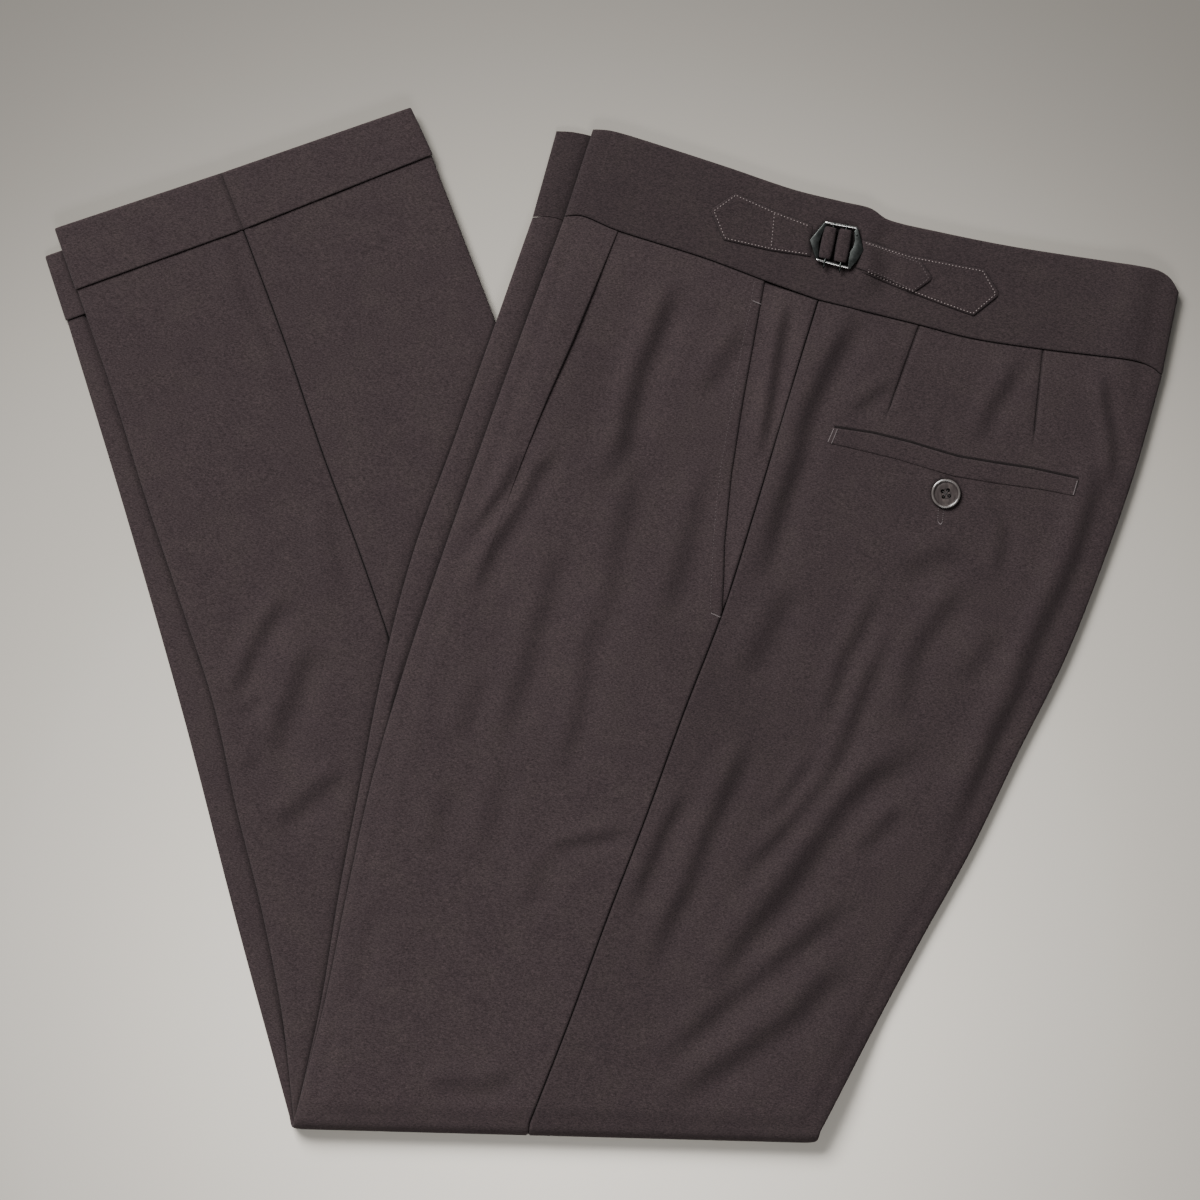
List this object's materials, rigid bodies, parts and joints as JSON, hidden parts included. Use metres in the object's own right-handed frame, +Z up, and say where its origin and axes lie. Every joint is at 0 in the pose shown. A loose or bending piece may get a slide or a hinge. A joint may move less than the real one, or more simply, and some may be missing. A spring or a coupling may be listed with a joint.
{
  "type": "folded dress trousers",
  "caption": "Pleated flannel dress trousers with turn-ups and side adjusters, laid crease to crease and folded under at the knee.",
  "frame": {"origin": "under the middle of the folded garment, on the surface that it lies on", "axes": "+Z up from the surface, +X along the knee fold from the front crease to the back crease, +Y from the knee fold towards the waistband"},
  "size_m": [0.6119, 0.5519, 0.0142],
  "materials": {
    "flannel": "matt brushed wool flannel, dark aubergine grey",
    "flannel_inside": "matt wool flannel",
    "button": "dark horn-like, satin",
    "buckle": "dark gunmetal, satin"
  },
  "bodies": {
    "root": {"left_front": "flannel", "left_back": "flannel", "left_pocket_facing": "flannel", "right_front": "flannel", "right_back": "flannel", "waistband_left": "flannel", "waistband_right": "flannel", "left_turn_up": "flannel", "right_turn_up": "flannel", "back_pocket_welt": "flannel", "adjuster_front_tab": "flannel", "adjuster_back_tab": "flannel", "adjuster_strap": "flannel", "adjuster_loop_front": "flannel", "adjuster_loop_back": "flannel", "hidden_layers": "flannel_inside", "back_pocket_button": "button", "buckle_frame": "buckle"}
  },
  "joints": []
}
